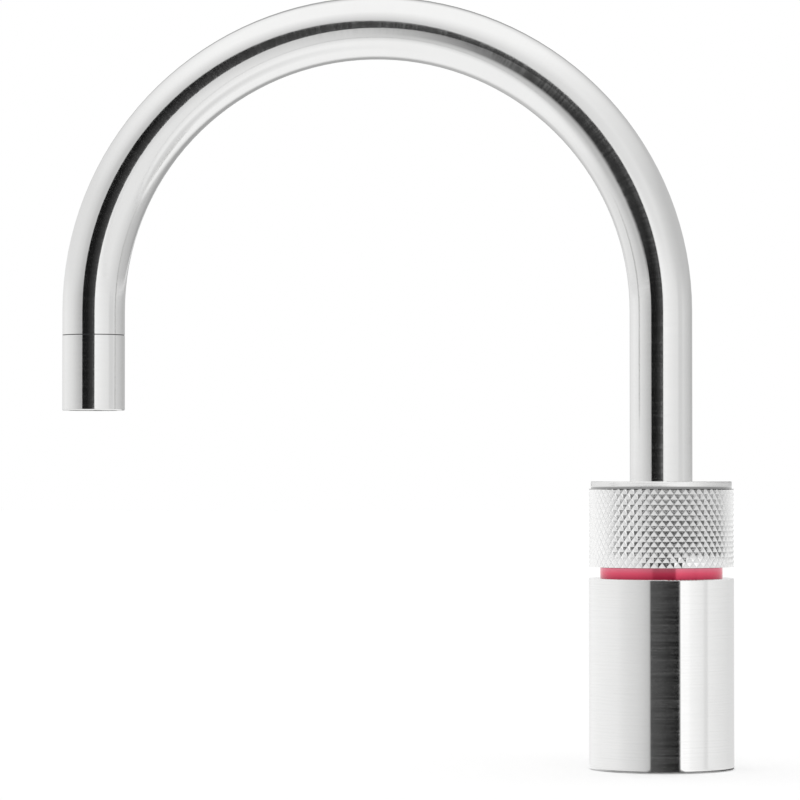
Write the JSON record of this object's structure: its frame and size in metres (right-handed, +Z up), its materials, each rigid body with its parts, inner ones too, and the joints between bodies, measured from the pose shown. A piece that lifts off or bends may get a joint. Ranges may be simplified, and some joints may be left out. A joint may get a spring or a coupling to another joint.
{
  "type": "swan-neck kitchen tap",
  "caption": "Swan-neck kitchen tap: round steel body, red light band, knurled push-and-turn ring, swivel spout with outlet sleeve, and a shank clamped under the worktop.",
  "frame": {"origin": "centre of the base, on the worktop's upper face", "axes": "+Z up along the body's axis; the spout reaches towards -X; +Y is behind the tap as seen in the picture"},
  "size_m": [0.2365, 0.051, 0.332],
  "materials": {
    "brushed_steel": "fine circumferential brush",
    "knurled_steel": "diamond knurl with a brushed rim",
    "turned_brass": "turned, uncoated",
    "zinc_steel": "zinc plated",
    "stainless_fastener": "plain, passivated",
    "red_light": "translucent, lit from behind",
    "board_green": "solder mask",
    "lamp_white": "moulded lamp body",
    "chip_black": "moulded",
    "black_rubber": "moulded, matt",
    "bearing_plastic": "machined acetal",
    "hose_white": "extruded, smooth",
    "spring_steel": "drawn wire",
    "magnet_nickel": "nickel plated",
    "grey_plastic": "moulded",
    "mesh_steel": "etched sheet"
  },
  "bodies": {
    "body": {"body_shell": "brushed_steel", "core_body": "turned_brass", "neck_tube": "turned_brass", "neck_screws": "stainless_fastener", "threaded_shank": "zinc_steel", "deck_seal": "black_rubber", "clamp_seal": "black_rubber", "clamp_washer": "zinc_steel", "lock_nut": "turned_brass", "shell_grip_rings": "black_rubber", "light_ring": "red_light", "led_board": "board_green", "led_chips": "lamp_white", "hall_sensors": "chip_black", "board_connector": "lamp_white", "cable_grommet": "black_rubber", "lower_spout_bearing": "bearing_plastic", "upper_spout_bearing": "bearing_plastic", "thrust_washer": "bearing_plastic", "spout_retaining_screw": "stainless_fastener", "guide_pins": "stainless_fastener", "return_spring": "spring_steel"},
    "spout": {"spout_tube": "brushed_steel", "spout_stem": "turned_brass", "stem_o_rings": "black_rubber", "water_tube": "hose_white", "tube_spacers": "grey_plastic", "outlet_connector": "turned_brass", "outlet_o_ring": "black_rubber", "outlet_sleeve": "brushed_steel", "outlet_mesh": "mesh_steel", "flow_straightener": "grey_plastic", "outlet_washer": "black_rubber"},
    "push_ring": {"push_ring": "turned_brass", "carrier_circlip": "spring_steel"},
    "knob": {"knurled_ring": "knurled_steel", "knob_carrier": "grey_plastic", "sensor_magnets": "magnet_nickel", "knob_screws": "stainless_fastener", "knob_wiper": "black_rubber"}
  },
  "joints": [
    {"name": "spout_swivel", "type": "hinge", "parent": "body", "child": "spout", "pos_m": [0, 0, 0.06], "axis": [0, 0, 1], "continuous": true},
    {"name": "knob_push", "type": "slide", "parent": "body", "child": "push_ring", "axis": [0, 0, -1], "range_m": [0, 0.0025], "stiffness_N_per_m": 2000, "springref_m": -0.003, "deforming": ["return_spring"]},
    {"name": "knob_turn", "type": "hinge", "parent": "push_ring", "child": "knob", "pos_m": [0, 0, 0.086], "axis": [0, 0, 1], "range_deg": [0, 90]}
  ]
}
